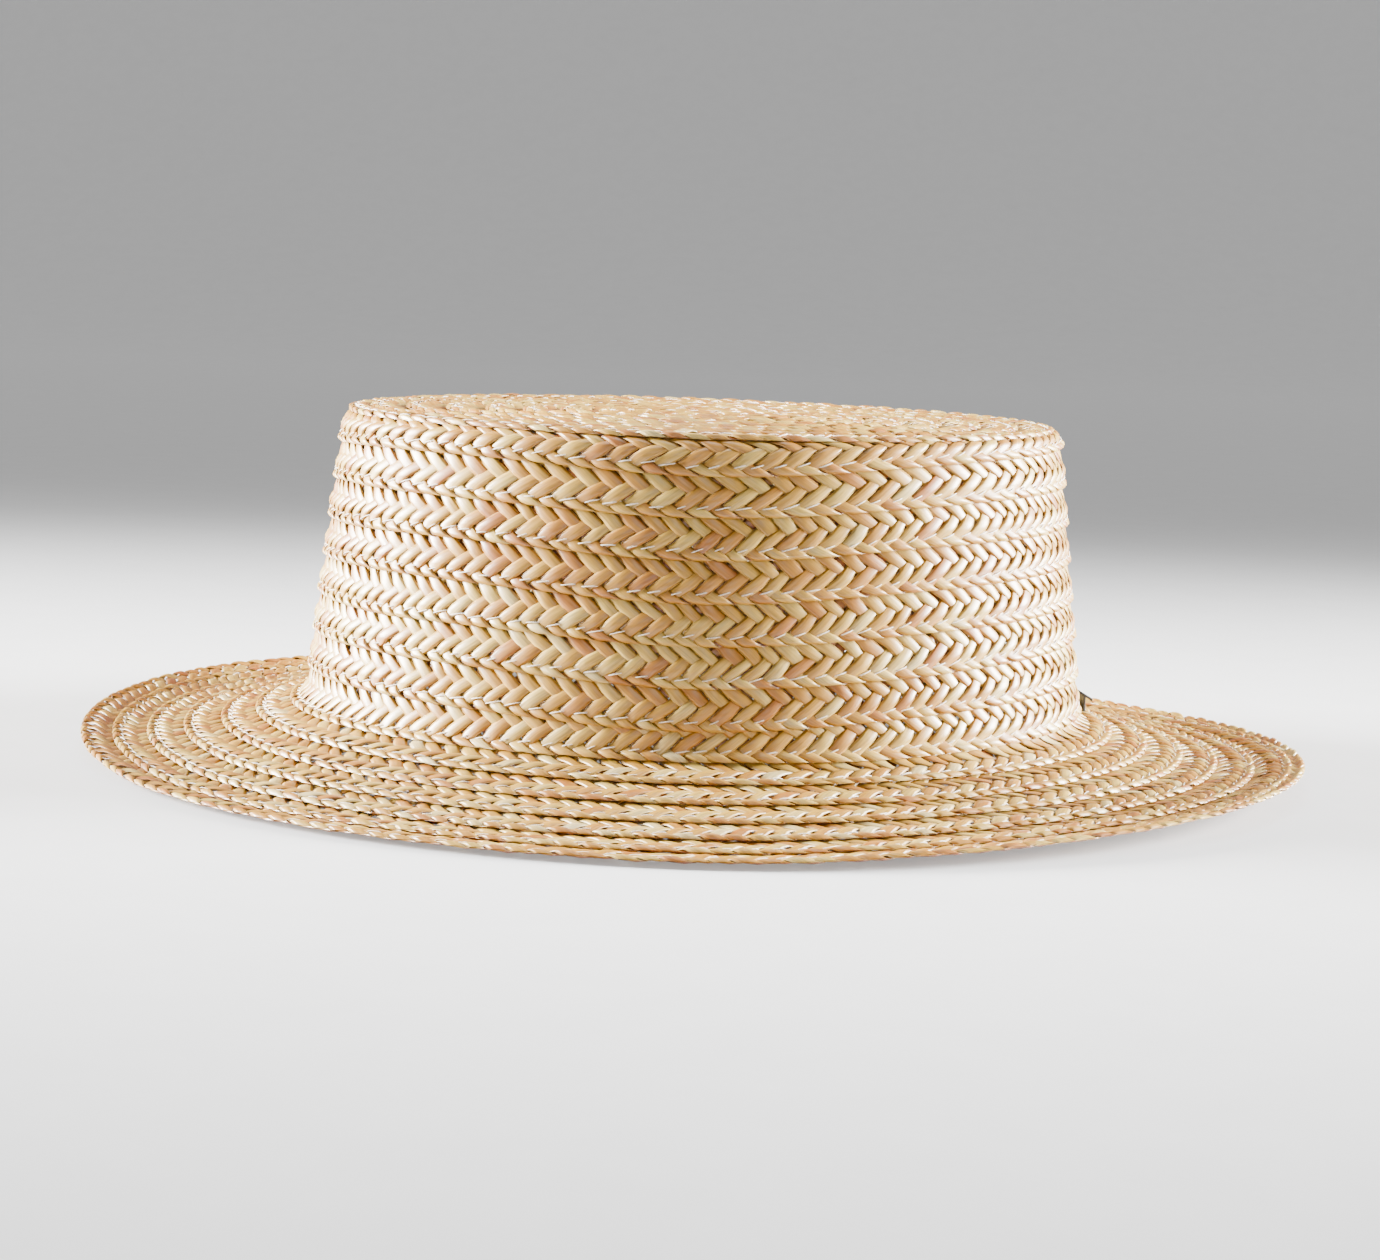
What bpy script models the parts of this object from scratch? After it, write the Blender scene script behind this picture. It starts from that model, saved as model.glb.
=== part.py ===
# Boater hat of flat straw plait, sewn row over row from the tip out to the rim.
# Long axis of the head along X, across the head along Y, rim resting on Z = 0. Metres.

import math

import bmesh
import bpy

# Crown, measured on the outer face.
crown_half_length = 0.0997
crown_half_width = 0.0866
crown_lean = 0.0080
hat_height = 0.0869
shoulder_radius = 0.0050

# Brim: its width, the height of the crown's foot over the rim, and where the fall ends.
brim_width = 0.0565
brim_fall = 0.0113
brim_fall_width = 0.0450
foot_radius = 0.0040

# The brim stands on its front and back and lifts a little toward the two ends.
wave_lift = 0.0045
wave_direction = math.radians(-24.7)
wave_flat = 0.5

# Straw: one row alone, the step from a row's edge down to the next row, and the rows' widths.
plait_thickness = 0.0012
row_step = 0.0011
lip_width = 0.0009
lip_drop = 0.0004
tip_pitch = 0.0099
side_pitch = 0.0098
brim_pitch = 0.0090
base_edge_reach = 0.0014
rim_corner_share = 0.3
rim_nose_share = 0.4

# Underside of the rim: width of the flat ring that the hat rests on.
rest_width = 0.0080

# A row narrower than this share of its pitch is taken into its neighbour.
least_side_row = 0.6
least_tip_row = 0.3

# How far a row is tucked under the one before, and the clearance between two pieces.
tuck_length = 0.0040
seam_clearance = 0.0003

# Metal tag at the foot of the crown, just behind its right end: a sloping leaf on a short leg.
tag_angle = math.radians(8.0)
tag_length = 0.0100
tag_leaf = 0.0052
tag_rise = 0.0050
tag_slope = math.radians(30.0)
tag_thickness = 0.0006
tag_leg_reach = 0.0030
tag_seat_share = 0.8
tag_round = 0.0001

# Points round the oval, along the shoulder and foot arcs, and across the brim.
stations = 52
arc_steps = 8
brim_steps = 24
curve_step = 0.0022

wall_full = plait_thickness + row_step
tuck_thickness = wall_full - plait_thickness - seam_clearance

# Corners of the outer line where the shoulder and the foot begin and end.
shoulder_top = 1
shoulder_low = shoulder_top + arc_steps
foot_top = shoulder_low + 1
foot_low = foot_top + arc_steps


def clear_scene():
    for thing in list(bpy.data.objects):
        bpy.data.objects.remove(thing, do_unlink=True)


def straw_material(name, colour, roughness):
    material = bpy.data.materials.new(name)
    material.use_nodes = True
    shader = material.node_tree.nodes["Principled BSDF"]
    shader.inputs["Base Color"].default_value = (*colour, 1.0)
    shader.inputs["Roughness"].default_value = roughness
    shader.inputs["Metallic"].default_value = 0.0
    return material


def metal_material():
    material = bpy.data.materials.new("tag_metal")
    material.use_nodes = True
    shader = material.node_tree.nodes["Principled BSDF"]
    shader.inputs["Base Color"].default_value = (0.11, 0.11, 0.12, 1.0)
    shader.inputs["Roughness"].default_value = 0.42
    shader.inputs["Metallic"].default_value = 1.0
    return material


def brim_height(reach):
    """Height of the rows' edges at this reach outside the crown's foot."""
    left = max(0.0, 1.0 - reach / brim_fall_width)
    return wall_full + brim_fall * left ** 1.5


def lean_angle():
    """How far the side wall leans in, from upright."""
    rise = hat_height - shoulder_radius - brim_height(0.0)
    return math.atan2(crown_lean, rise)


def foot_slope():
    """Fall of the brim where it leaves the crown."""
    return math.atan2(1.5 * brim_fall, brim_fall_width)


def outer_line():
    """Radius and height along the rows' edges, across the hat, from tip centre to rim."""
    lean = lean_angle()
    slope = foot_slope()
    tip_edge = crown_half_width - crown_lean - shoulder_radius
    points = [(0.0, hat_height), (tip_edge, hat_height)]
    for step in range(1, arc_steps + 1):
        angle = math.pi / 2 - (math.pi / 2 - lean) * step / arc_steps
        radius = tip_edge + shoulder_radius * math.cos(angle)
        height = hat_height - shoulder_radius * (1.0 - math.sin(angle))
        points.append((radius, height))
    # The foot is an arc between the wall and the first slope of the brim.
    turn = math.pi / 2 - lean - slope
    reach = foot_radius * math.tan(turn / 2)
    foot = (crown_half_width, brim_height(0.0))
    start = (foot[0] - reach * math.sin(lean), foot[1] + reach * math.cos(lean))
    centre = (start[0] + foot_radius * math.cos(lean), start[1] + foot_radius * math.sin(lean))
    for step in range(arc_steps + 1):
        angle = math.pi + lean + turn * step / arc_steps
        radius = centre[0] + foot_radius * math.cos(angle)
        height = centre[1] + foot_radius * math.sin(angle)
        points.append((radius, height))
    first = reach * math.cos(slope)
    for step in range(1, brim_steps + 1):
        out = first + (brim_width - first) * step / brim_steps
        points.append((crown_half_width + out, brim_height(out)))
    return points


def measured(points):
    """Distance from the tip centre along the line, for each of its points."""
    lengths = [0.0]
    for before, after in zip(points, points[1:]):
        lengths.append(lengths[-1] + math.dist(before, after))
    return lengths


line = outer_line()
line_lengths = measured(line)


def along_line(distance):
    """Point of the outer line at this distance, with its outward normal."""
    last = len(line) - 2
    index = 0
    while index < last and line_lengths[index + 1] < distance:
        index += 1
    span = line_lengths[index + 1] - line_lengths[index]
    share = (distance - line_lengths[index]) / span
    low = line[index]
    high = line[index + 1]
    point = (low[0] + (high[0] - low[0]) * share, low[1] + (high[1] - low[1]) * share)
    normal_low = corner_normal(index)
    normal_high = corner_normal(index + 1)
    across = normal_low[0] + (normal_high[0] - normal_low[0]) * share
    upward = normal_low[1] + (normal_high[1] - normal_low[1]) * share
    size = math.hypot(across, upward)
    return point, (across / size, upward / size)


def corner_normal(index):
    """Outward normal at a point of the outer line."""
    before = line[max(0, index - 1)]
    after = line[min(len(line) - 1, index + 1)]
    run = (after[0] - before[0], after[1] - before[1])
    size = math.hypot(*run)
    return (-run[1] / size, run[0] / size)


def skin_point(distance, height):
    """Radius and height of a point this far along, and this high over the inner face."""
    point, normal = along_line(distance)
    rise = height - wall_full
    return (point[0] + normal[0] * rise, point[1] + normal[1] * rise)


def distance_at_reach(reach):
    """Distance along the line at this reach outside the crown's foot."""
    for index in range(len(line) - 1, 0, -1):
        if line[index - 1][0] <= crown_half_width + reach:
            low = line[index - 1][0]
            high = line[index][0]
            share = (crown_half_width + reach - low) / (high - low)
            span = line_lengths[index] - line_lengths[index - 1]
            return line_lengths[index - 1] + span * min(1.0, share)
    return line_lengths[-1]


tip_end = line_lengths[shoulder_top]
base_edge = distance_at_reach(base_edge_reach)
rim = line_lengths[-1]
brim_rows = max(2, round((brim_width - base_edge_reach) / brim_pitch))
last_brim_edge = distance_at_reach(base_edge_reach + brim_pitch * (brim_rows - 1))


def curve_stops(start, end):
    """Distances between start and end where the line bends and the skin needs points."""
    stops = []
    shoulder = (line_lengths[shoulder_top], line_lengths[shoulder_low])
    foot = (line_lengths[foot_top], line_lengths[foot_low])
    for first, last in (shoulder, foot):
        count = max(2, math.ceil((last - first) / curve_step))
        for step in range(count + 1):
            distance = first + (last - first) * step / count
            if start + curve_step / 3 < distance < end - curve_step / 3:
                stops.append(distance)
    for step in range(1, 5):
        distance = line_lengths[foot_low] + (rim - line_lengths[foot_low]) * step / 5
        if start + 2 * curve_step < distance < end - 2 * curve_step:
            stops.append(distance)
    return stops


def rib_points(edges, start):
    """Top of the rows from start outward: each rises to its edge and steps down."""
    points = []
    row_start = start
    for edge in edges:
        for distance in curve_stops(row_start, edge - lip_width):
            share = (distance - row_start) / (edge - lip_width - row_start)
            if is_bent(distance):
                points.append((distance, plait_thickness + row_step * share))
        points.append((edge - lip_width, wall_full))
        points.append((edge, wall_full - lip_drop))
        if edge != edges[-1]:
            points.append((edge, plait_thickness))
        row_start = edge
    return points


def is_bent(distance):
    """True on the shoulder and the foot, where a row can't be one straight facet."""
    on_shoulder = line_lengths[shoulder_top] <= distance <= line_lengths[shoulder_low]
    on_foot = line_lengths[foot_top] <= distance <= line_lengths[foot_low]
    return on_shoulder or on_foot


def tucked_start(edge):
    """Inner end of a piece, tucked under the edge of the piece before it."""
    points = [(edge - tuck_length, tuck_thickness)]
    for distance in curve_stops(edge - tuck_length, edge):
        if is_bent(distance):
            points.append((distance, tuck_thickness))
    points.append((edge, tuck_thickness))
    points.append((edge + seam_clearance, plait_thickness))
    return points


def lapped_end(edge):
    """Underside of a piece's last row, which lies over the tucked start of the next."""
    over = tuck_thickness + seam_clearance
    back = edge - tuck_length - seam_clearance
    points = [(edge, over)]
    for distance in reversed(curve_stops(back, edge)):
        if is_bent(distance):
            points.append((distance, over))
    points.append((back, over))
    points.append((back, 0.0))
    return points


def inner_face(start, end):
    """Inner face from start back to end."""
    return [(distance, 0.0) for distance in reversed(curve_stops(end, start))]


def side_edges():
    """Rows' lower edges down the side, the last one out on the foot."""
    edges = []
    distance = tip_end + side_pitch
    while distance < base_edge - least_side_row * side_pitch:
        edges.append(distance)
        distance += side_pitch
    return edges + [base_edge]


def tip_edges():
    """Rows' outer edges on the tip, from the middle out to the ledge."""
    count = int((tip_end - least_tip_row * tip_pitch) / tip_pitch)
    return [tip_end - tip_pitch * step for step in range(count, -1, -1)]


def brim_edges():
    """Rows' outer edges on the brim, up to the outermost turn."""
    reaches = [base_edge_reach + brim_pitch * step for step in range(1, brim_rows)]
    return [distance_at_reach(reach) for reach in reaches]


def wave(angle, share):
    """Lift of the brim at this angle, from none at the foot to all at the rim."""
    bend = max(0.0, math.cos(2 * (angle - wave_direction)) + wave_flat) / (1 + wave_flat)
    return wave_lift * bend * share ** 1.5


def spin_to_oval(name, section, closed, material):
    """Turns a section about Z, draws it out to the oval of the head and adds the wave."""
    mesh = bpy.data.meshes.new(name)
    work = bmesh.new()
    corners = [work.verts.new((radius, 0.0, height)) for radius, height in section]
    pairs = list(zip(corners, corners[1:]))
    if closed:
        pairs.append((corners[-1], corners[0]))
    edges = [work.edges.new(pair) for pair in pairs]
    bmesh.ops.spin(
        work,
        geom=corners + edges,
        cent=(0.0, 0.0, 0.0),
        axis=(0.0, 0.0, 1.0),
        angle=2 * math.pi,
        steps=stations,
        use_merge=True,
    )
    bmesh.ops.remove_doubles(work, verts=work.verts, dist=1e-6)
    stretch = crown_half_length - crown_half_width
    for corner in work.verts:
        radius = math.hypot(corner.co.x, corner.co.y)
        if radius < 1e-6:
            continue
        angle = math.atan2(corner.co.y, corner.co.x)
        share = min(1.0, max(0.0, (radius - crown_half_width) / brim_width))
        corner.co.x += stretch * math.cos(angle)
        corner.co.z += wave(angle, share)
    bmesh.ops.recalc_face_normals(work, faces=work.faces)
    work.to_mesh(mesh)
    work.free()
    mesh.materials.append(material)
    mesh.shade_smooth()
    mesh.set_sharp_from_angle(angle=math.radians(32.0))
    body = bpy.data.objects.new(name, mesh)
    bpy.context.scene.collection.objects.link(body)
    return body


def crown_tip():
    """Flat oval top. Its last row is a ledge that lies over the shoulder."""
    section = [(0.0, plait_thickness)]
    section += rib_points(tip_edges(), 0.0)
    section += lapped_end(tip_end)
    section.append((0.0, 0.0))
    profile = [skin_point(*point) for point in section]
    profile[0] = (0.0, profile[0][1])
    profile[-1] = (0.0, profile[-1][1])
    straw = straw_material("tip_straw", (0.74, 0.57, 0.35), 0.48)
    return spin_to_oval("crown_tip", profile, False, straw)


def crown_shoulder():
    """Row that bends over the shoulder, from under the tip's ledge down to its own edge."""
    edge = side_edges()[0]
    section = tucked_start(tip_end)
    section += rib_points([edge], tip_end + seam_clearance)
    section += lapped_end(edge)
    section += inner_face(edge - tuck_length - seam_clearance, tip_end - tuck_length)
    section.append((tip_end - tuck_length, 0.0))
    straw = straw_material("shoulder_straw", (0.72, 0.55, 0.32), 0.48)
    profile = [skin_point(*point) for point in section]
    return spin_to_oval("crown_shoulder", profile, True, straw)


def crown_side():
    """Leaning wall under the shoulder row, and the row that flares out at the foot."""
    edges = side_edges()
    section = tucked_start(edges[0])
    section += rib_points(edges[1:], edges[0] + seam_clearance)
    section += lapped_end(base_edge)
    section += inner_face(base_edge - tuck_length - seam_clearance, edges[0] - tuck_length)
    section.append((edges[0] - tuck_length, 0.0))
    straw = straw_material("side_straw", (0.71, 0.53, 0.30), 0.48)
    return spin_to_oval("crown_side", [skin_point(*point) for point in section], True, straw)


def brim():
    """Rows round the crown, from under its base row to the outermost turn."""
    section = tucked_start(base_edge)
    section += rib_points(brim_edges(), base_edge + seam_clearance)
    section += lapped_end(last_brim_edge)
    section += inner_face(last_brim_edge - tuck_length - seam_clearance, base_edge - tuck_length)
    section.append((base_edge - tuck_length, 0.0))
    straw = straw_material("brim_straw", (0.72, 0.54, 0.33), 0.48)
    return spin_to_oval("brim", [skin_point(*point) for point in section], True, straw)


def brim_edge():
    """Outermost turn, with the rounded selvage of the rim and a flat underside to rest on."""
    section = tucked_start(last_brim_edge)
    section.append((rim - 2 * lip_width, wall_full))
    section.append((rim - rim_corner_share * lip_width, wall_full - lip_drop))
    section.append((rim, rim_nose_share * wall_full))
    section.append((rim - lip_width, 0.0))
    section.append((rim - rest_width, 0.0))
    section.append((last_brim_edge - tuck_length, 0.0))
    straw = straw_material("rim_straw", (0.70, 0.52, 0.31), 0.48)
    return spin_to_oval("brim_edge", [skin_point(*point) for point in section], True, straw)


def tag_section():
    """Outline of the tag seen from its end: reach outside the foot, height over the rim."""
    top = brim_height(0.0) + tag_rise
    half = tag_thickness / 2
    sheet = tag_thickness / math.cos(tag_slope)
    seat = brim_height(tag_leg_reach - half) - row_step * tag_seat_share + seam_clearance

    def under_leaf(reach):
        return top - reach * math.tan(tag_slope) - sheet

    inner = tag_leg_reach - half
    outer = tag_leg_reach + half
    return [
        (0.0, top),
        (0.0, under_leaf(0.0)),
        (inner, under_leaf(inner)),
        (inner, seat),
        (outer, seat),
        (outer, under_leaf(outer)),
        (tag_leaf, under_leaf(tag_leaf)),
        (tag_leaf, under_leaf(tag_leaf) + sheet),
    ]


def back_tag():
    """Small bent plate that stands on the brim's first row, its leaf toward the crown."""
    mesh = bpy.data.meshes.new("back_tag")
    work = bmesh.new()
    corners = [work.verts.new((reach, -tag_length / 2, height)) for reach, height in tag_section()]
    end = work.faces.new(corners)
    pulled = bmesh.ops.extrude_face_region(work, geom=[end])
    far = [item for item in pulled["geom"] if isinstance(item, bmesh.types.BMVert)]
    bmesh.ops.translate(work, verts=far, vec=(0.0, tag_length, 0.0))
    bmesh.ops.recalc_face_normals(work, faces=work.faces)
    bmesh.ops.bevel(work, geom=list(work.edges), offset=tag_round, segments=1, affect="EDGES")
    work.to_mesh(mesh)
    work.free()
    mesh.materials.append(metal_material())
    tag = bpy.data.objects.new("back_tag", mesh)
    tag.location.x = crown_half_length * math.cos(tag_angle)
    tag.location.y = crown_half_width * math.sin(tag_angle)
    across = math.sin(tag_angle) * crown_half_length
    outward = math.cos(tag_angle) * crown_half_width
    tag.rotation_euler.z = math.atan2(across, outward)
    bpy.context.scene.collection.objects.link(tag)
    return tag


clear_scene()
crown_tip()
crown_shoulder()
crown_side()
brim()
brim_edge()
back_tag()
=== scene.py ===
# Straw boater: one long plait of seven flat wheat splints, wound from the middle of the tip
# out over the shoulder, down the side and round the brim, and sewn to itself turn by turn.
# Metres, long axis of the head along X, camera side toward -Y, rim resting on Z = 0.

import math

import bpy
import numpy as np
from mathutils import Matrix, Vector


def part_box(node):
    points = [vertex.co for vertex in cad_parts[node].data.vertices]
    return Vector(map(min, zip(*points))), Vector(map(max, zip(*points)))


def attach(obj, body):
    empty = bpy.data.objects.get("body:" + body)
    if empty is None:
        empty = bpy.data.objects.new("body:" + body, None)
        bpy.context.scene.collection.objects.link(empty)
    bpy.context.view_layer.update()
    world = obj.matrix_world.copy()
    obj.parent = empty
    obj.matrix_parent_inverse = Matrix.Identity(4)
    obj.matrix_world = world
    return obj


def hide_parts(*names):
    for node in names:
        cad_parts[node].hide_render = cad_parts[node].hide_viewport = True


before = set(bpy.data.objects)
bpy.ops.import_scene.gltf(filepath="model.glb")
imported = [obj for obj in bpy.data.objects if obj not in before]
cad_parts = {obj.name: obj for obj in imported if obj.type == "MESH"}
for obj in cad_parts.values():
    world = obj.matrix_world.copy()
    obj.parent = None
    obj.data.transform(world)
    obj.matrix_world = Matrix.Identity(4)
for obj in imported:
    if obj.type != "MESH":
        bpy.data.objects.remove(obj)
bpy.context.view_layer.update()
chance = np.random.default_rng(1907)


# The hat's form
# The blocked shape that the plait is sewn to: a flat oval tip, a round shoulder, a side that
# leans in, a tight foot and a brim that falls gently and lifts a little at its two ends.

crown_half_length = 0.0997
crown_half_width = 0.0866
crown_lean = 0.0080
hat_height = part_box("crown_tip")[1].z
shoulder_radius = 0.0050
foot_radius = 0.0040
brim_width = 0.0565
brim_fall = 0.0113
brim_fall_width = 0.0450
brim_fall_power = 1.5
wall_full = 0.0023
oval_stretch = crown_half_length - crown_half_width

wave_lift = 0.0045
wave_direction = math.radians(-24.7)
wave_flat = 0.5
wave_power = 1.5

tip_points = 40
shoulder_points = 24
wall_points = 30
foot_points = 16
brim_points = 60


def brim_height(reach):
    """Height of the brim's top at this reach outside the crown's foot."""
    return wall_full + brim_fall * np.maximum(0.0, 1.0 - reach / brim_fall_width) ** brim_fall_power


def form_line():
    """Radius and height across the hat, from the middle of the tip out to the rim."""
    lean = math.atan2(crown_lean, hat_height - shoulder_radius - brim_height(0.0))
    slope = math.atan2(brim_fall_power * brim_fall, brim_fall_width)
    tip_edge = crown_half_width - crown_lean - shoulder_radius
    flat = [(radius, hat_height) for radius in np.linspace(0.0, tip_edge, tip_points)]
    bend = np.linspace(math.pi / 2, lean, shoulder_points)[1:]
    shoulder = [
        (
            tip_edge + shoulder_radius * math.cos(angle),
            hat_height - shoulder_radius * (1.0 - math.sin(angle)),
        )
        for angle in bend
    ]
    turn = math.pi / 2 - lean - slope
    reach = foot_radius * math.tan(turn / 2)
    start = (
        crown_half_width - reach * math.sin(lean),
        float(brim_height(0.0)) + reach * math.cos(lean),
    )
    centre = (start[0] + foot_radius * math.cos(lean), start[1] + foot_radius * math.sin(lean))
    low = shoulder[-1]
    wall = [
        (low[0] + (start[0] - low[0]) * share, low[1] + (start[1] - low[1]) * share)
        for share in np.linspace(0.0, 1.0, wall_points)[1:-1]
    ]
    foot = [
        (centre[0] + foot_radius * math.cos(angle), centre[1] + foot_radius * math.sin(angle))
        for angle in math.pi + lean + np.linspace(0.0, turn, foot_points)
    ]
    first = reach * math.cos(slope)
    outward = np.linspace(first, brim_width, brim_points)[1:]
    brim = [(crown_half_width + out, float(brim_height(out))) for out in outward]
    return np.array(flat + shoulder + wall + foot + brim)


form = form_line()
form_steps = np.hypot(*np.diff(form, axis=0).T)
form_length = np.concatenate([[0.0], np.cumsum(form_steps)])
form_run = np.gradient(form, form_length, axis=0)
form_run /= np.hypot(form_run[:, 0], form_run[:, 1])[:, None]
shoulder_start = crown_half_width - crown_lean - shoulder_radius
rim_distance = form_length[-1]


def on_form(distance, angle, rise):
    """Points on the hat this far along the form from the tip's middle, in this direction round
    it, and this high over the side that the head touches."""
    radius = np.where(distance < 0.0, distance, np.interp(distance, form_length, form[:, 0]))
    height = np.interp(distance, form_length, form[:, 1])
    across = -np.interp(distance, form_length, form_run[:, 1])
    upward = np.interp(distance, form_length, form_run[:, 0])
    lift = rise - wall_full
    radius = radius + across * lift
    height = height + upward * lift
    share = np.clip((radius - crown_half_width) / brim_width, 0.0, 1.0)
    bend = np.maximum(0.0, np.cos(2 * (angle - wave_direction)) + wave_flat) / (1 + wave_flat)
    height = height + wave_lift * bend * share ** wave_power
    return np.stack(
        [(radius + oval_stretch) * np.cos(angle), radius * np.sin(angle), height], axis=-1
    )


# The winding
# The plait runs clockwise seen from above. Its turns are counted at the right end of the head,
# from the first row that lies wholly on the side. Each row's outer edge lies on the next row.

tip_row = 0.0097
tip_turns = 8.4
tip_even_until = -2.0
tip_edge_inside = 0.0066
side_top = 0.0822
side_row = 0.0096
side_turns = 6
foot_share = 0.9
foot_clear = 0.002
brim_first_reach = -0.00085
brim_row = 0.00895
brim_count_from = 7.0
brim_first_turn = 7.25
brim_even_until = 13.5
brim_mark_step = 0.25
rim_inset = 0.0001
tail_turn = 14.10
tail_reach = 0.0528
end_turn = 14.24

# The side's rows hang lowest at the front middle, between the tip and the brim.
row_sag = 0.0030
sag_angle = math.radians(-88.0)
sag_width = math.radians(26.0)
sag_from = -0.5
sag_from_run = 0.5
sag_end_run = 0.9

# A hand guides the plait, so its edge wanders a little until the last turn settles as the rim.
edge_wander = 0.00022
wander_step = 0.07
wander_until = 13.3
wander_end_run = 0.2

turn_step = 1 / 720
row_middle = 0.0045
least_distance = 0.0005


def distance_at_height(height):
    """Distance on the side wall at this height."""
    on_wall = (form_length > shoulder_start) & (form[:, 1] > float(brim_height(0.0)) * foot_share)
    return np.interp(-height, -form[on_wall, 1], form_length[on_wall])


def distance_at_reach(reach):
    """Distance on the brim at this reach outside the crown's foot."""
    on_brim = form_length > distance_at_height(float(brim_height(0.0)) + foot_clear)
    return np.interp(crown_half_width + reach, form[on_brim, 0], form_length[on_brim])


# Last turn of the tip, which stays nearly level where it hangs over the shoulder:
# turns before the side, distance past the start of the shoulder.
ledge_marks = np.array([(-1.0, 0.0026), (-0.91, 0.0029), (-0.64, 0.0034), (-0.35, 0.0046)])

side_marks = np.arange(side_turns + 1)
brim_marks = np.arange(brim_first_turn, brim_even_until, brim_mark_step)
tip_marks = np.array([-tip_turns, tip_even_until])
mark_turns = np.concatenate(
    [tip_marks, ledge_marks[:, 0], side_marks, brim_marks, [tail_turn, end_turn]]
)
mark_distance = np.concatenate(
    [
        shoulder_start - tip_edge_inside + tip_row * (tip_marks - tip_even_until),
        shoulder_start + ledge_marks[:, 1],
        distance_at_height(side_top - side_row * side_marks),
        np.minimum(
            rim_distance - rim_inset,
            distance_at_reach(brim_first_reach + brim_row * (brim_marks - brim_count_from)),
        ),
        [rim_distance - rim_inset, distance_at_reach(tail_reach)],
    ]
)
wander_turns = np.arange(-tip_turns - 1.0, end_turn + 1.0, wander_step)
wander = chance.normal(0.0, edge_wander, len(wander_turns))


def row_edge(turns):
    """Distance of the plait's outer edge from the tip's middle, after this many turns."""
    angle = (-2 * np.pi * turns + np.pi) % (2 * np.pi) - np.pi
    fade_in = np.clip((turns - sag_from) / sag_from_run, 0.0, 1.0)
    fade_out = np.clip((brim_first_turn - turns) / sag_end_run, 0.0, 1.0)
    sag = row_sag * np.exp(-(((angle - sag_angle) / sag_width) ** 2)) * (fade_in * fade_out)
    settled = np.clip((wander_until - turns) / wander_end_run, 0.0, 1.0)
    uneven = np.interp(turns, wander_turns, wander) * settled
    return np.interp(turns, mark_turns, mark_distance) + sag + uneven


turn_steps = np.arange(-tip_turns, end_turn, turn_step)
middle_distance = np.maximum(row_edge(turn_steps) - row_middle, least_distance)
middle_line = on_form(middle_distance, -2 * np.pi * turn_steps, wall_full)
plait_length = np.concatenate(
    [[0.0], np.cumsum(np.linalg.norm(np.diff(middle_line, axis=0), axis=1))]
)


# The plait
# Seven flat splints of split wheat straw, 3 mm wide, plaited over two and under two. Each one
# crosses the plait on a slant, folds round the selvage and comes back under the others.

splint_pitch = 0.0052
level_height = 0.00215
edge_squeeze = 0.55
edge_squeeze_run = 0.7
levels = 7
shown_levels = 6.2
stations = 13
weave_middle = 2.5
weave_depth = 0.00048
weave_roundness = 0.9
splint_crown = 0.00038
splint_back = 0.00010
fold_run = 0.3
selvage_thickness = 0.6

# Section of a row, where the selvage bulges, the sewing pulls it in, and the back goes under the
# row before: inward from the edge, height over the side that the head touches.
row_section = np.array(
    [
        (0.0000, 0.00165),
        (0.0010, 0.00190),
        (0.0022, 0.00140),
        (0.0038, 0.00165),
        (0.0062, 0.00120),
        (0.0088, 0.00055),
        (0.0130, 0.00035),
    ]
)

# How unlike the splints are: their widths, their lie and their bulge over the others.
spare_cells = 20
width_spread = (0.78, 1.22)
fold_spread = (0.90, 1.10)
new_straw_share = 0.06
filled_spread = (0.88, 1.0)
lift_wander = 0.00006
tilt_wander = 0.00016
bulge_spread = (0.7, 1.25)

cell_count = int(plait_length[-1] / splint_pitch) + spare_cells
cell_width = chance.uniform(*width_spread, cell_count)
cell_tone = chance.uniform(0.0, 1.0, cell_count)
for index in range(levels, cell_count):
    # The same straw comes back every seventh fold until it runs out and a new one is laid in.
    if chance.random() > new_straw_share:
        cell_width[index] = cell_width[index - levels]
        cell_tone[index] = cell_tone[index - levels]
cell_width *= chance.uniform(*fold_spread, cell_count)
cell_width /= cell_width.mean()
cell_edges = np.concatenate([[0.0], np.cumsum(cell_width)]) * splint_pitch
cell_index = np.arange(cell_count + 1) - 0.5
splint_share = chance.uniform(*filled_spread, cell_count)
splint_lift = chance.normal(0.0, lift_wander, cell_count)
splint_tilt = chance.normal(0.0, tilt_wander, cell_count)
splint_bulge = chance.uniform(*bulge_spread, cell_count)

# Section of one splint, flat below and crowned on top, as shares of its width, crown and back.
section_side = np.array([-0.5, -0.30, 0.0, 0.30, 0.5, 0.0])
section_rise = np.array([0.0, 0.80, 1.0, 0.80, 0.0, 0.0])
section_back = np.array([0.0, 0.0, 0.0, 0.0, 0.0, 1.0])


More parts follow.
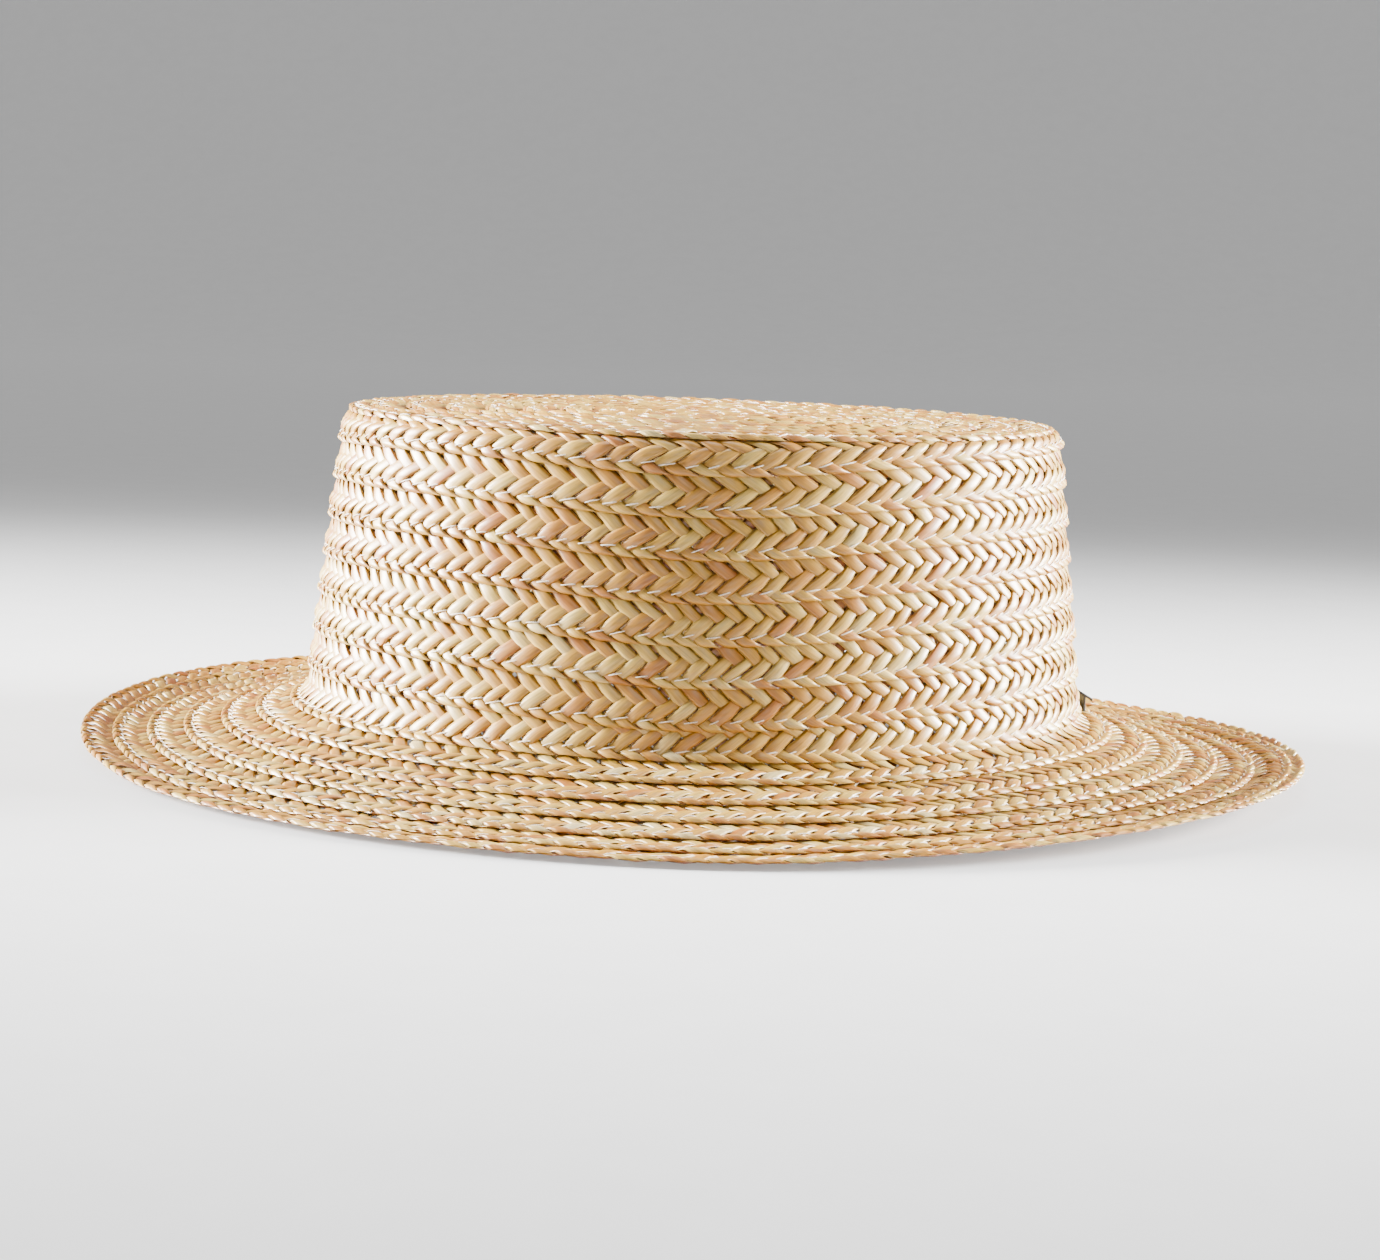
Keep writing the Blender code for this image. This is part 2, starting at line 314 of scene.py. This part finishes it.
def splint_points(first, last, leaning):
    """Points of the splints between two lengths of plait: leaning is 1 for those that go up to
    the right and -1 for those that go up to the left."""
    starts = np.searchsorted(cell_edges, [first, last])
    cells = np.arange(max(levels, starts[0]), min(cell_count - levels, starts[1]))
    cell = cells[:, None, None]
    level = np.linspace(0.0, shown_levels, stations)[None, :, None]
    side = section_side[None, None, :] * splint_share[cells][:, None, None]
    here = np.interp(cell + side, cell_index, cell_edges)
    beside = np.interp(cell + side + leaning * level, cell_index, cell_edges)
    along = plait_length[-1] - (here + beside) / 2
    along = along + splint_tilt[cells][:, None, None] * (level - weave_middle)
    phase = level + leaning * side
    weave = leaning * np.cos(np.pi * (phase - weave_middle) / 2)
    weave = np.sign(weave) * np.abs(weave) ** weave_roundness
    fold = np.clip(level / fold_run, 0.0, 1.0)
    fold = fold * fold * (3 - 2 * fold)
    squeeze = edge_squeeze * (1 - np.exp(-level / edge_squeeze_run))
    inward = (level - squeeze) * level_height + 0 * along
    rise = np.interp(inward, row_section[:, 0], row_section[:, 1])
    rise = rise + weave_depth * splint_bulge[cells][:, None, None] * weave * fold
    thick = selvage_thickness + (1 - selvage_thickness) * fold
    rise = rise + thick * splint_crown * section_rise[None, None, :]
    rise = rise - thick * splint_back * section_back[None, None, :]
    rise = rise + splint_lift[cells][:, None, None]
    turns = np.interp(along, plait_length, turn_steps)
    points = on_form(row_edge(turns) - inward, -2 * np.pi * turns, rise)
    return cells, points, weave


# Corners of a quad in the order that Blender goes round them: steps around, steps along.
quad_corners = ((0, 0), (1, 0), (1, 1), (0, 1))


def tube_faces(count, rings, around):
    """Corner numbers of the quads of so many open tubes."""
    ring = np.arange(rings - 1)[None, :, None]
    spot = np.arange(around)[None, None, :]
    base = np.arange(count)[:, None, None] * rings * around
    here = base + ring * around
    after = (spot + 1) % around
    quads = np.stack(
        [here + spot, here + after, here + around + after, here + around + spot], axis=-1
    )
    return quads.reshape(-1, 4)


atlas_side_margin = 0.08
atlas_end_margin = 0.04


def atlas(count, rings, around, wide, tall):
    """Places of each tube's quads in a sheet where every tube has its own upright strip."""
    columns = max(1, math.ceil(math.sqrt(count * tall / wide)))
    lines = math.ceil(count / columns)
    number = np.arange(count)
    left = (number % columns)[:, None, None]
    low = (number // columns)[:, None, None]
    ring = np.arange(rings - 1)[None, :, None]
    spot = np.arange(around)[None, None, :]
    used_wide = 1 - 2 * atlas_side_margin
    used_tall = 1 - 2 * atlas_end_margin
    corners = []
    for step_spot, step_ring in quad_corners:
        u = (left + atlas_side_margin + used_wide * (spot + step_spot) / around) / columns
        v = (low + atlas_end_margin + used_tall * (ring + step_ring) / (rings - 1)) / lines
        corners.append(np.stack([u + 0 * ring, v + 0 * spot], axis=-1))
    return np.stack(corners, axis=-2).reshape(-1, 2)


def strip_mesh(name, points, quads, sheets, values):
    """Mesh of quads with its UV sheets and its values per point, smooth shaded."""
    mesh = bpy.data.meshes.new(name)
    corners = points.reshape(-1, 3)
    mesh.vertices.add(len(corners))
    mesh.vertices.foreach_set("co", corners.astype(np.float32).ravel())
    mesh.loops.add(quads.size)
    mesh.loops.foreach_set("vertex_index", quads.astype(np.int32).ravel())
    mesh.polygons.add(len(quads))
    mesh.polygons.foreach_set("loop_start", np.arange(0, quads.size, 4, dtype=np.int32))
    mesh.update(calc_edges=True)
    mesh.polygons.foreach_set("use_smooth", np.ones(len(quads), bool))
    for sheet, places in sheets.items():
        layer = mesh.uv_layers.new(name=sheet)
        layer.uv.foreach_set("vector", places.astype(np.float32).ravel())
    for label, numbers in values.items():
        layer = mesh.attributes.new(label, "FLOAT", "POINT")
        layer.data.foreach_set("value", numbers.astype(np.float32).ravel())
    mesh.validate()
    body = bpy.data.objects.new(name, mesh)
    bpy.context.scene.collection.objects.link(body)
    return body


# A splint unrolled, in mm: one side of its section, one station of its length, its whole strip,
# and how far apart two splints are cut from the same straw.
grain_across = 0.9
grain_along = 1.4
strip_wide = 6.0
strip_tall = 18.0
straw_shift_across = 40.0
straw_shift_along = 90.0


def plait_piece(name, first_turn, last_turn):
    """All the splints of one stretch of the plait, as one mesh."""
    spans = np.interp([first_turn, last_turn], turn_steps, plait_length)
    start = plait_length[-1] - spans[1]
    end = plait_length[-1] - spans[0]
    parts = [splint_points(start, end, leaning) for leaning in (1, -1)]
    points = np.concatenate([part[1] for part in parts])
    cells = np.concatenate([part[0] for part in parts])
    weave = np.concatenate([part[2] for part in parts])
    count, rings, around = points.shape[:3]
    quads = tube_faces(count, rings, around)
    tone = np.repeat(cell_tone[cells], rings * around)
    own = chance.uniform(0.0, 1.0, count)
    ring_grid = np.arange(rings - 1)[None, :, None]
    spot_grid = np.arange(around)[None, None, :]
    grain = []
    straw_across = straw_shift_across * own[:, None, None]
    straw_along = straw_shift_along * own[:, None, None]
    for step_spot, step_ring in quad_corners:
        across_mm = (spot_grid + step_spot) * grain_across + straw_across + 0 * ring_grid
        along_mm = (ring_grid + step_ring) * grain_along + straw_along + 0 * spot_grid
        grain.append(np.stack([across_mm, along_mm], axis=-1))
    grain = np.stack(grain, axis=-2).reshape(-1, 2)
    sheets = {"OFBake": atlas(count, rings, around, strip_wide, strip_tall), "grain": grain}
    values = {
        "straw_tone": tone,
        "splint_own": np.repeat(own, rings * around),
        # Painted shade mask: 1 where a splint dives under the one crossing it, where the straw's
        # colour is darkened.
        "tucked_shade": np.clip(-weave, 0.0, 1.0) + 0 * points[..., 0],
        "edge": np.abs(section_side[None, None, :]) * 2 + 0 * points[..., 0],
    }
    return strip_mesh(name, points, quads, sheets, values)


def linear(code):
    """Hex colour to the linear numbers that shaders take, by the standard sRGB curve."""
    parts = [int(code[place : place + 2], 16) / 255 for place in (1, 3, 5)]
    return [part / 12.92 if part < 0.04045 else ((part + 0.055) / 1.055) ** 2.4 for part in parts]


def node(tree, kind, settings=None, links=None):
    """Adds a node, sets its options and numbers, and joins its inputs."""
    made = tree.nodes.new(kind)
    for key, value in (settings or {}).items():
        if isinstance(key, str) and hasattr(made, key):
            setattr(made, key, value)
        else:
            made.inputs[key].default_value = value
    for key, source in (links or {}).items():
        tree.links.new(source, made.inputs[key])
    return made


def blank_material(name):
    """A material with no nodes yet, and the tree to put them in."""
    material = bpy.data.materials.new(name)
    material.use_nodes = True
    material.node_tree.nodes.clear()
    return material, material.node_tree


def ramp_stops(ramp, stops):
    """Gives a colour ramp its stops, as pairs of place and colour."""
    while len(ramp.elements) < len(stops):
        ramp.elements.new(1.0)
    for element, (place, code) in zip(ramp.elements, stops):
        element.position = place
        element.color = (*linear(code), 1.0)


def times_plus(tree, value, factor, plus):
    """One value times a factor, plus another value."""
    settings = {"operation": "MULTIPLY_ADD", 1: factor}
    return node(tree, "ShaderNodeMath", settings, {0: value, 2: plus}).outputs[0]


def stretched(tree, value, low, high, new_low, new_high):
    """A value's range from low to high, stretched to a new one and held inside it."""
    settings = {"From Min": low, "From Max": high, "To Min": new_low, "To Max": new_high}
    return node(tree, "ShaderNodeMapRange", settings, {"Value": value}).outputs["Result"]


# Numbers that Blender's Mix node gives to its share, its two colours and the colour it makes.
mix_share = 0
mix_first = 6
mix_second = 7
mix_made = 2


def wheat_straw():
    """Split wheat straw: a satin skin from cream to orange gold, with fine long fibres that the
    eye reads as brushed streaks, darkened by painted shade where a splint dives under another,
    and paler along the cut edges of each splint."""
    material, tree = blank_material("wheat_straw")
    tone = node(tree, "ShaderNodeAttribute", {"attribute_name": "straw_tone"})
    own = node(tree, "ShaderNodeAttribute", {"attribute_name": "splint_own"})
    tucked_shade = node(tree, "ShaderNodeAttribute", {"attribute_name": "tucked_shade"})
    edge = node(tree, "ShaderNodeAttribute", {"attribute_name": "edge"})
    grain = node(tree, "ShaderNodeUVMap", {"uv_map": "grain"})
    fibre_scale = node(
        tree, "ShaderNodeMapping", {"Scale": (2.3, 0.12, 1.0)}, {"Vector": grain.outputs["UV"]}
    )
    fibre = node(
        tree,
        "ShaderNodeTexNoise",
        {"Scale": 1.0, "Detail": 4.0, "Roughness": 0.6},
        {"Vector": fibre_scale.outputs["Vector"]},
    )
    stain_scale = node(
        tree, "ShaderNodeMapping", {"Scale": (0.5, 0.12, 1.0)}, {"Vector": grain.outputs["UV"]}
    )
    stain = node(
        tree,
        "ShaderNodeTexNoise",
        {"Scale": 1.0, "Detail": 2.0},
        {"Vector": stain_scale.outputs["Vector"]},
    )
    # The straw's own tone, a smaller part of the splint's, and stains that run along it.
    mixed = times_plus(tree, own.outputs["Fac"], 0.36, tone.outputs["Fac"])
    mixed = times_plus(tree, stain.outputs["Fac"], 0.7, mixed)
    spread = stretched(tree, mixed, 0.25, 1.75, 0.0, 1.0)
    colour = node(tree, "ShaderNodeValToRGB", links={"Fac": spread})
    ramp_stops(
        colour.color_ramp,
        [
            (0.0, "#94500A"),
            (0.28, "#A87014"),
            (0.52, "#B48624"),
            (0.76, "#C09E44"),
            (1.0, "#C8B480"),
        ],
    )
    streak = stretched(tree, fibre.outputs["Fac"], 0.35, 0.68, 0.70, 1.14)
    streaked = node(
        tree,
        "ShaderNodeVectorMath",
        {"operation": "SCALE"},
        {0: colour.outputs["Color"], "Scale": streak},
    )
    # Painted shade: the straw's colour is multiplied darker by the tucked mask where a splint runs
    # under the one crossing it.
    under_shade_mix = node(
        tree,
        "ShaderNodeMix",
        {"data_type": "RGBA", "blend_type": "MULTIPLY", mix_second: (*linear("#B98650"), 1.0)},
        {mix_first: streaked.outputs[0], mix_share: tucked_shade.outputs["Fac"]},
    )
    pale = stretched(tree, edge.outputs["Fac"], 0.86, 1.0, 0.0, 0.40)
    edged = node(
        tree,
        "ShaderNodeMix",
        {"data_type": "RGBA", mix_second: (*linear("#D9C188"), 1.0)},
        {mix_first: under_shade_mix.outputs[mix_made], mix_share: pale},
    )
    rough = stretched(tree, fibre.outputs["Fac"], 0.3, 0.7, 0.34, 0.52)
    bump = node(
        tree,
        "ShaderNodeBump",
        {"Strength": 0.35, "Distance": 0.00012},
        {"Height": fibre.outputs["Fac"]},
    )
    shader = node(
        tree,
        "ShaderNodeBsdfPrincipled",
        {"Specular IOR Level": 0.7, "Coat Weight": 0.3, "Coat Roughness": 0.28},
        {
            "Base Color": edged.outputs[mix_made],
            "Roughness": rough,
            "Normal": bump.outputs["Normal"],
        },
    )
    node(tree, "ShaderNodeOutputMaterial", links={"Surface": shader.outputs[0]})
    return material


straw = wheat_straw()

# Stretches of the one plait: name, first turn, last turn, the solids that it stands for.
plait_parts = (
    ("tip_plait", -tip_turns, 0.0, ["crown_tip"]),
    ("shoulder_plait", 0.0, 1.0, ["crown_shoulder"]),
    ("side_plait", 1.0, 4.2, ["crown_side"]),
    ("foot_plait", 4.2, 7.4, []),
    ("inner_brim_plait", 7.4, 9.9, ["brim"]),
    ("outer_brim_plait", 9.9, 12.41, []),
    ("edge_plait", 12.41, end_turn, ["brim_edge"]),
)
for name, first_turn, last_turn, stands_for in plait_parts:
    piece = plait_piece(name, first_turn, last_turn)
    piece.data.materials.append(straw)
    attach(piece, "root")
    if stands_for:
        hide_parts(*stands_for)


# The sewing
# A pale thread runs round every turn 3 mm inside its edge and holds it to the next one. Each
# stitch is a short slanted run on top, and dives through the straw at both ends.

stitch_pitch = 0.0052
stitch_run = 0.0046
stitch_low = 0.0017
stitch_high = 0.0028
thread_radius = 0.00016
stitch_rise = 0.00215
stitch_dip = 0.00060
stitch_roundness = 0.5
stitch_stations = 5
thread_sides = 4
first_stitch = 0.5
sewn_until = 13.35

# How unlike the stitches are: where each starts, how long it is and how it slants.
start_wander = 0.0006
run_spread = (0.75, 1.1)
low_wander = 0.00018
high_wander = 0.00022

stitch_ends = np.interp([-tip_turns + first_stitch, sewn_until], turn_steps, plait_length)
stitch_start = np.arange(stitch_ends[0], stitch_ends[1], stitch_pitch)
stitch_count = len(stitch_start)
stitch_start = stitch_start + chance.uniform(-start_wander, start_wander, stitch_count)
stitch_share = np.linspace(0.0, 1.0, stitch_stations)
run = stitch_run * chance.uniform(*run_spread, stitch_count)
low = stitch_low + chance.normal(0.0, low_wander, stitch_count)
high = stitch_high + chance.normal(0.0, high_wander, stitch_count)
along = stitch_start[:, None] + run[:, None] * stitch_share[None, :]
inward = high[:, None] + (low - high)[:, None] * stitch_share[None, :]
arch = np.sin(np.pi * stitch_share) ** stitch_roundness
rise = stitch_rise - stitch_dip + stitch_dip * arch[None, :] + 0 * along
turns = np.interp(along, plait_length, turn_steps)
around_angles = np.arange(thread_sides) * 2 * np.pi / thread_sides
shift_in = thread_radius * np.cos(around_angles)
shift_up = thread_radius * np.sin(around_angles)
thread = on_form(
    (row_edge(turns) - inward)[:, :, None] + shift_in,
    (-2 * np.pi * turns)[:, :, None] + 0 * shift_in,
    rise[:, :, None] + shift_up,
)


def sewing_thread():
    """Thin pale cotton thread, a little glossy, twisted: it shows as bright slanted ticks."""
    material, tree = blank_material("sewing_thread")
    place = node(tree, "ShaderNodeUVMap", {"uv_map": "grain"})
    twist = node(
        tree,
        "ShaderNodeTexWave",
        {"Scale": 1.6, "Distortion": 1.0, "bands_direction": "DIAGONAL"},
        {"Vector": place.outputs["UV"]},
    )
    colour = node(tree, "ShaderNodeValToRGB", links={"Fac": twist.outputs["Fac"]})
    ramp_stops(colour.color_ramp, [(0.0, "#D9C7AE"), (1.0, "#F4ECE0")])
    bump = node(
        tree,
        "ShaderNodeBump",
        {"Strength": 0.4, "Distance": 0.00005},
        {"Height": twist.outputs["Fac"]},
    )
    shader = node(
        tree,
        "ShaderNodeBsdfPrincipled",
        {"Roughness": 0.45, "Sheen Weight": 0.2},
        {"Base Color": colour.outputs["Color"], "Normal": bump.outputs["Normal"]},
    )
    node(tree, "ShaderNodeOutputMaterial", links={"Surface": shader.outputs[0]})
    return material


# Every side of the thread shows the same bit of cotton, in mm across and along.
thread_across = 0.2
thread_along = 1.2
thread_strip = (1.0, 4.0)

thread_patch = np.array(quad_corners) * (thread_across, thread_along)
thread_grain = np.tile(thread_patch, (stitch_count * (stitch_stations - 1) * thread_sides, 1))
thread_sheet = atlas(stitch_count, stitch_stations, thread_sides, *thread_strip)
sewing = strip_mesh(
    "sewing_stitches",
    thread,
    tube_faces(stitch_count, stitch_stations, thread_sides),
    {"OFBake": thread_sheet, "grain": thread_grain},
    {},
)
sewing.data.materials.append(sewing_thread())
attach(sewing, "root")


# The tag
# A small plain plate of dark metal behind the foot of the crown, pressed from sheet: brushed
# faintly and worn to a duller grey in patches.


def dark_sheet_metal():
    """Blackened sheet: nearly black with soft grey patches and a fine pressed grain."""
    material, tree = blank_material("dark_sheet_metal")
    place = node(tree, "ShaderNodeTexCoord")
    patches = node(
        tree,
        "ShaderNodeTexNoise",
        {"Scale": 420.0, "Detail": 5.0},
        {"Vector": place.outputs["Object"]},
    )
    colour = node(tree, "ShaderNodeValToRGB", links={"Fac": patches.outputs["Fac"]})
    ramp_stops(colour.color_ramp, [(0.3, "#2A2A2D"), (0.7, "#55565A")])
    rough = stretched(tree, patches.outputs["Fac"], 0.0, 1.0, 0.3, 0.55)
    bump = node(
        tree,
        "ShaderNodeBump",
        {"Strength": 0.3, "Distance": 0.00008},
        {"Height": patches.outputs["Fac"]},
    )
    shader = node(
        tree,
        "ShaderNodeBsdfPrincipled",
        {"Metallic": 0.9},
        {
            "Base Color": colour.outputs["Color"],
            "Roughness": rough,
            "Normal": bump.outputs["Normal"],
        },
    )
    node(tree, "ShaderNodeOutputMaterial", links={"Surface": shader.outputs[0]})
    return material


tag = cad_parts["back_tag"]
tag.data.materials.clear()
tag.data.materials.append(dark_sheet_metal())


# The studio
# A pale sweep of paper under and behind the hat, big soft lamps close on both sides, a soft one
# above and a weak one by the camera, so the flanks burn bright and the front stays golden.

sweep_width = 8.0
sweep_front = -3.0
sweep_back = 2.2
sweep_bend = 1.2
sweep_top = 4.0
sweep_bend_points = 16


def paper_sweep():
    """The sheet of paper: flat under the hat, then a bend, then straight up."""
    bend = np.linspace(0.0, np.pi / 2, sweep_bend_points)
    outline = [(sweep_front, 0.0)]
    outline += [
        (sweep_back + sweep_bend * math.sin(turn), sweep_bend * (1 - math.cos(turn)))
        for turn in bend
    ]
    outline.append((sweep_back + sweep_bend, sweep_top))
    corners = []
    for depth, height in outline:
        corners.append((-sweep_width / 2, depth, height))
        corners.append((sweep_width / 2, depth, height))
    starts = range(0, 2 * len(outline) - 2, 2)
    faces = [(start, start + 1, start + 3, start + 2) for start in starts]
    mesh = bpy.data.meshes.new("paper_sweep")
    mesh.from_pydata(corners, [], faces)
    mesh.shade_smooth()
    body = bpy.data.objects.new("paper_sweep", mesh)
    bpy.context.scene.collection.objects.link(body)
    return body


def white_paper():
    """Matt white background paper with a barely visible pulp mottle."""
    material, tree = blank_material("white_paper")
    place = node(tree, "ShaderNodeTexCoord")
    pulp = node(
        tree,
        "ShaderNodeTexNoise",
        {"Scale": 60.0, "Detail": 3.0},
        {"Vector": place.outputs["Object"]},
    )
    colour = node(tree, "ShaderNodeValToRGB", links={"Fac": pulp.outputs["Fac"]})
    ramp_stops(colour.color_ramp, [(0.0, "#C8C8C8"), (1.0, "#CECECE")])
    shader = node(
        tree,
        "ShaderNodeBsdfPrincipled",
        {"Roughness": 0.9, "Specular IOR Level": 0.1, "Emission Strength": 0.55},
        {"Base Color": colour.outputs["Color"], "Emission Color": colour.outputs["Color"]},
    )
    node(tree, "ShaderNodeOutputMaterial", links={"Surface": shader.outputs[0]})
    return material


floor = paper_sweep()
floor.data.materials.append(white_paper())


crown_middle = Vector((0.0, 0.0, 0.05))
air_light = 0.10


def soft_lamp(name, place, wide, high, beam, watts):
    """A soft box aimed at the middle of the crown, its light held to a beam of so many degrees."""
    lamp = bpy.data.lights.new(name, "AREA")
    lamp.shape = "RECTANGLE"
    lamp.size = wide
    lamp.size_y = high
    lamp.energy = watts
    lamp.spread = math.radians(beam)
    body = bpy.data.objects.new(name, lamp)
    body.location = place
    aim = crown_middle - Vector(place)
    body.rotation_euler = aim.to_track_quat("-Z", "Y").to_euler()
    bpy.context.scene.collection.objects.link(body)


# name, place, width, height, beam in degrees, watts
soft_lamp("left_lamp", (-1.0, 0.16, 0.25), 0.5, 0.7, 50.0, 24.0)
soft_lamp("right_lamp", (1.0, 0.16, 0.25), 0.5, 0.7, 50.0, 21.0)
soft_lamp("top_lamp", (0.0, 0.1, 1.1), 0.6, 0.6, 70.0, 1.2)
soft_lamp("front_lamp", (0.05, -1.2, 0.75), 0.6, 0.4, 60.0, 0.5)

world = bpy.data.worlds.new("studio_air")
world.use_nodes = True
background = world.node_tree.nodes["Background"]
background.inputs["Color"].default_value = (1.0, 1.0, 1.0, 1.0)
background.inputs["Strength"].default_value = air_light
bpy.context.scene.world = world


# The camera
# A long lens low in front of the hat, rolled a little so that the hat's right side sits lower.
# Angles in radians, distances in metres, and the focal length in pixels of the photograph's width.

camera_side = 0.0010
camera_above = 0.1350
camera_away = 0.7020
camera_roll = 0.0359
camera_aim = Vector((-0.0013, 0.0, 0.0310))
picture_wide = 1380.0
focal_in_picture = 2722.0
sensor_wide = 36.0
nearest_seen = 0.05
farthest_seen = 20.0

ahead = Vector(
    (
        math.sin(camera_side) * math.cos(camera_above),
        math.cos(camera_side) * math.cos(camera_above),
        -math.sin(camera_above),
    )
)
right = Vector((math.cos(camera_side), -math.sin(camera_side), 0.0))
above = right.cross(ahead)
right_rolled = math.cos(camera_roll) * right + math.sin(camera_roll) * above
above_rolled = -math.sin(camera_roll) * right + math.cos(camera_roll) * above
lens = bpy.data.cameras.new("camera")
lens.sensor_width = sensor_wide
lens.lens = sensor_wide * focal_in_picture / picture_wide
lens.clip_start = nearest_seen
lens.clip_end = farthest_seen
camera = bpy.data.objects.new("camera", lens)
camera.matrix_world = Matrix(
    (
        (right_rolled.x, above_rolled.x, -ahead.x, 0.0),
        (right_rolled.y, above_rolled.y, -ahead.y, 0.0),
        (right_rolled.z, above_rolled.z, -ahead.z, 0.0),
        (0.0, 0.0, 0.0, 1.0),
    )
)
camera.location = camera_aim - camera_away * ahead
bpy.context.scene.collection.objects.link(camera)
bpy.context.scene.camera = camera
